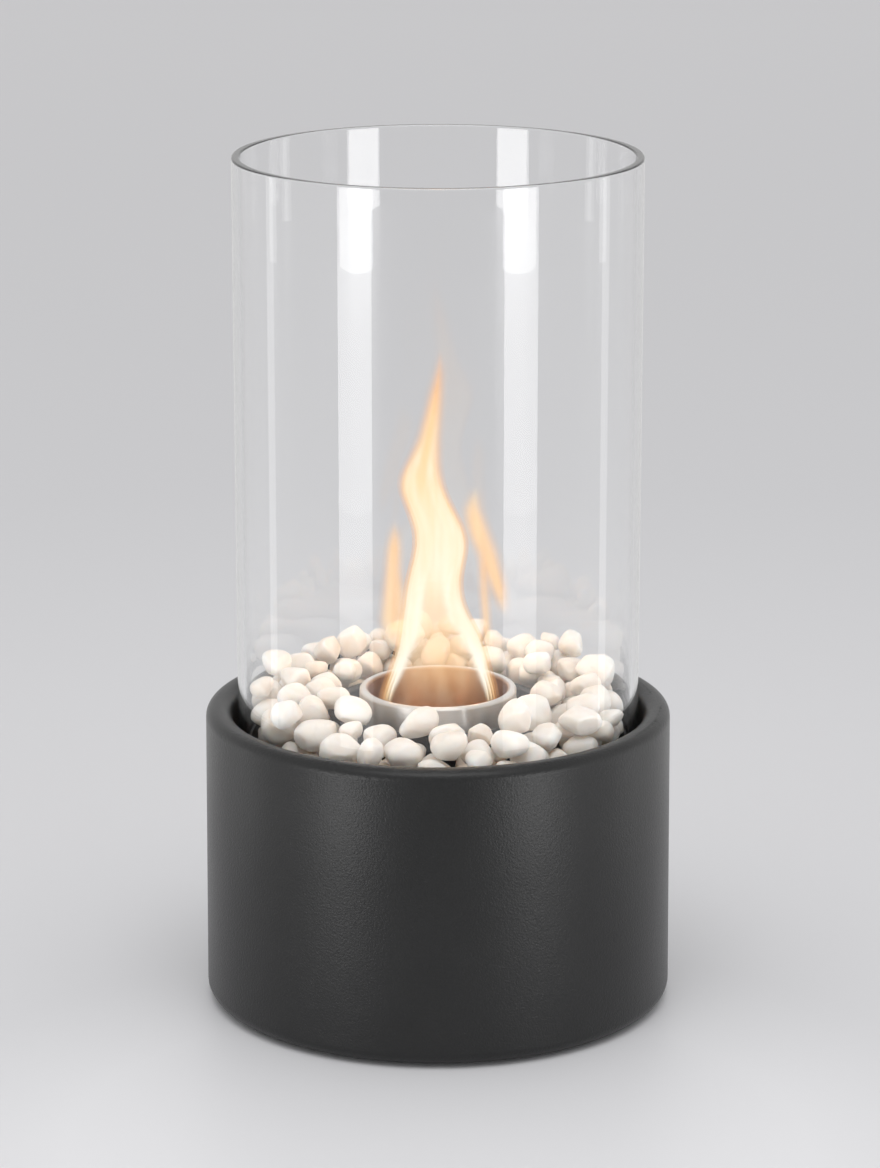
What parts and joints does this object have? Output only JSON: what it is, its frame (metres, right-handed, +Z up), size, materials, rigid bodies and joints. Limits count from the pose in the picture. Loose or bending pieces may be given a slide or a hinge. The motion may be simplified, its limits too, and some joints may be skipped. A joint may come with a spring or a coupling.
{
  "type": "tabletop fireplace",
  "caption": "Round tabletop fireplace: spun steel base with a rolled lip, lift-out glass tube, ring of loose pebbles and a lift-out steel fuel burner in the middle.",
  "frame": {"origin": "on the table, under the middle of the base", "axes": "+Z up along the glass tube's axis; -Y towards the viewer of the picture, +X to the right"},
  "size_m": [0.1753, 0.1754, 0.32],
  "materials": {
    "shell_coat": "matt dark grey powder coat with a fine grain",
    "black_steel": "satin black heat-proof enamel",
    "zinc_steel": "dull zinc plate",
    "foot_rubber": "matt black",
    "gasket_rubber": "matt dark silicone",
    "clear_glass": "clear, with fire-polished edges",
    "stainless": "brushed round the axis",
    "ceramic_wool": "white fibre",
    "heat_board": "pressed mineral board",
    "pebble_stone": "smooth matt off-white marble"
  },
  "bodies": {
    "base": {"base_shell": "shell_coat", "bottom_plate": "black_steel", "plate_screws": "zinc_steel", "foot_1": "foot_rubber", "foot_2": "foot_rubber", "foot_3": "foot_rubber", "foot_4": "foot_rubber", "bracket_1": "black_steel", "bracket_2": "black_steel", "bracket_3": "black_steel", "bracket_4": "black_steel", "seat_ring": "black_steel", "glass_gasket": "gasket_rubber", "pebble_tray": "black_steel", "tray_screws": "zinc_steel", "burner_well": "black_steel", "well_pad": "heat_board", "pebbles_lower": "pebble_stone", "pebbles_middle": "pebble_stone", "pebbles_upper": "pebble_stone"},
    "glass": {"glass_cylinder": "clear_glass"},
    "burner": {"burner_sleeve": "stainless", "burner_floor": "stainless", "fuel_cup": "stainless", "wick_pad": "ceramic_wool", "wick_grille": "stainless", "grille_clip": "zinc_steel"}
  },
  "joints": [
    {"name": "glass_lift", "type": "slide", "parent": "base", "child": "glass", "axis": [0, 0, 1], "range_m": [0, 0.08]},
    {"name": "burner_lift", "type": "slide", "parent": "base", "child": "burner", "axis": [0, 0, 1], "range_m": [0, 0.07]}
  ]
}
